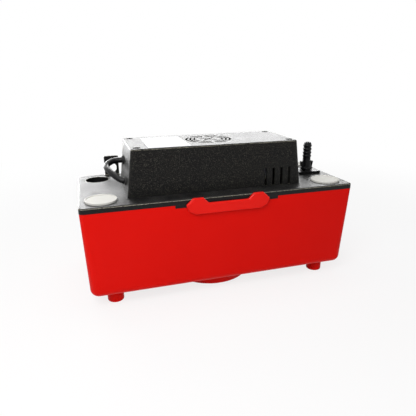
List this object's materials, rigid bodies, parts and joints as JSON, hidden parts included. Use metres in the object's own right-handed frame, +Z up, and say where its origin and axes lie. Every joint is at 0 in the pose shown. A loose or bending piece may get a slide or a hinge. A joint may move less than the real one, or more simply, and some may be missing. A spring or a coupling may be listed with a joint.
{
  "type": "condensate pump",
  "caption": "Tank-type condensate pump: drafted tank on feet, latched lid with motor cover, inlets, float switch, upright pump and twist-lock barb discharge.",
  "frame": {"origin": "on the floor under the middle of the tank", "axes": "+X along the tank towards the discharge, +Y from the front latch to the back with the wall ears, +Z up"},
  "size_m": [0.281, 0.13, 0.152],
  "materials": {
    "tank": "gloss",
    "feet": "gloss",
    "latch": "gloss",
    "lid": "satin, fine grain",
    "plug": "satin",
    "cover": "satin, fine grain",
    "screw": "zinc plated",
    "label": "satin film",
    "black_rubber": "matte",
    "cord": "satin",
    "lamination": "stacked sheet",
    "copper": "bare copper",
    "bobbin": "matte",
    "rotor": "turned",
    "steel": "ground",
    "zinc": "zinc plated",
    "bronze": "sintered",
    "fan": "matte",
    "pump_plastic": "matte",
    "bushing": "matte",
    "stainless": "stainless",
    "impeller": "matte",
    "hose": "matte",
    "valve_plastic": "satin",
    "ball": "matte",
    "barb": "satin",
    "float": "foam",
    "rod": "matte",
    "bracket": "matte",
    "switch": "matte",
    "plunger": "matte",
    "terminal": "tinned brass"
  },
  "bodies": {
    "tank": {"tank": "tank", "feet": "feet"},
    "latch_front": {"latch_front": "latch"},
    "latch_rear": {"latch_rear": "latch"},
    "pump_head": {"lid": "lid", "motor_cover": "cover", "cover_screws": "screw", "blank_label": "label", "cord_grommets": "black_rubber", "cord_loop": "cord", "laminations": "lamination", "shading_rings": "copper", "coil_bobbin": "bobbin", "coil_winding": "copper", "upper_bracket": "zinc", "lower_bracket": "zinc", "upper_bearing": "bronze", "lower_bearing": "bronze", "motor_bolts": "screw", "motor_nuts": "screw", "stack_screws": "screw", "pump_column": "pump_plastic", "shaft_bushing": "bushing", "volute_body": "pump_plastic", "intake_plate": "pump_plastic", "volute_screws": "stainless", "discharge_hose": "hose", "check_valve_body": "valve_plastic", "valve_lock_nut": "valve_plastic", "lever_pin": "steel", "switch_bracket": "bracket", "bracket_screws": "screw", "run_switch": "switch", "overflow_switch": "switch", "switch_screws": "screw", "switch_terminals": "terminal"},
    "rotor": {"rotor": "rotor", "motor_shaft": "steel", "cooling_fan": "fan", "shaft_slinger": "black_rubber", "impeller": "impeller"},
    "float": {"float": "float", "float_rod": "rod"},
    "switch_lever": {"switch_lever": "rod"},
    "run_plunger": {"run_plunger": "plunger"},
    "overflow_plunger": {"overflow_plunger": "plunger"},
    "valve_ball": {"valve_ball": "ball"},
    "barb_adapter": {"barb_adapter": "barb", "adapter_o_ring": "black_rubber"},
    "inlet_plug_front_left": {"inlet_plug_front_left": "plug"},
    "inlet_plug_front_right": {"inlet_plug_front_right": "plug"},
    "inlet_plug_rear_right": {"inlet_plug_rear_right": "plug"}
  },
  "joints": [
    {"name": "latch_front_flex", "type": "hinge", "parent": "tank", "child": "latch_front", "pos_m": [0, -0.06089, 0.0913], "axis": [1, 0, 0], "range_deg": [0, 15], "stiffness_Nm_per_rad": 0.05},
    {"name": "latch_rear_flex", "type": "hinge", "parent": "tank", "child": "latch_rear", "pos_m": [0, 0.06089, 0.0913], "axis": [-1, 0, 0], "range_deg": [0, 15], "stiffness_Nm_per_rad": 0.05},
    {"name": "pump_head_lift", "type": "slide", "parent": "tank", "child": "pump_head", "axis": [0, 0, 1], "range_m": [0, 0.09]},
    {"name": "rotor_spin", "type": "hinge", "parent": "pump_head", "child": "rotor", "pos_m": [-0.003, -0.0042, 0.122], "axis": [0, 0, 1], "continuous": true},
    {"name": "float_rise", "type": "slide", "parent": "pump_head", "child": "float", "axis": [0, 0, 1], "range_m": [0, 0.022]},
    {"name": "switch_lever_turn", "type": "hinge", "parent": "pump_head", "child": "switch_lever", "pos_m": [-0.0658, 0.019, 0.1215], "axis": [-1, 0, 0], "range_deg": [0, 35.58]},
    {"name": "run_plunger_press", "type": "slide", "parent": "pump_head", "child": "run_plunger", "axis": [0, 0, 1], "range_m": [0, 0.0011]},
    {"name": "overflow_plunger_press", "type": "slide", "parent": "pump_head", "child": "overflow_plunger", "axis": [0, 0, 1], "range_m": [0, 0.0011]},
    {"name": "valve_ball_lift", "type": "slide", "parent": "pump_head", "child": "valve_ball", "axis": [0, 0, 1], "range_m": [0, 0.0055]},
    {"name": "barb_adapter_twist", "type": "hinge", "parent": "pump_head", "child": "barb_adapter", "pos_m": [0.1197, 0, 0.112], "axis": [0, 0, 1], "range_deg": [0, 60]},
    {"name": "inlet_plug_front_left_pull", "type": "slide", "parent": "pump_head", "child": "inlet_plug_front_left", "axis": [0, 0, 1], "range_m": [0, 0.012]},
    {"name": "inlet_plug_front_right_pull", "type": "slide", "parent": "pump_head", "child": "inlet_plug_front_right", "axis": [0, 0, 1], "range_m": [0, 0.012]},
    {"name": "inlet_plug_rear_right_pull", "type": "slide", "parent": "pump_head", "child": "inlet_plug_rear_right", "axis": [0, 0, 1], "range_m": [0, 0.012]}
  ],
  "couplings": [
    {"joint": "switch_lever_turn", "follows": "float_rise", "rad_per_m": 28.228},
    {"joint": "run_plunger_press", "follows": "float_rise", "ratio": 0.049591},
    {"joint": "overflow_plunger_press", "follows": "float_rise", "ratio": 0.049591}
  ]
}
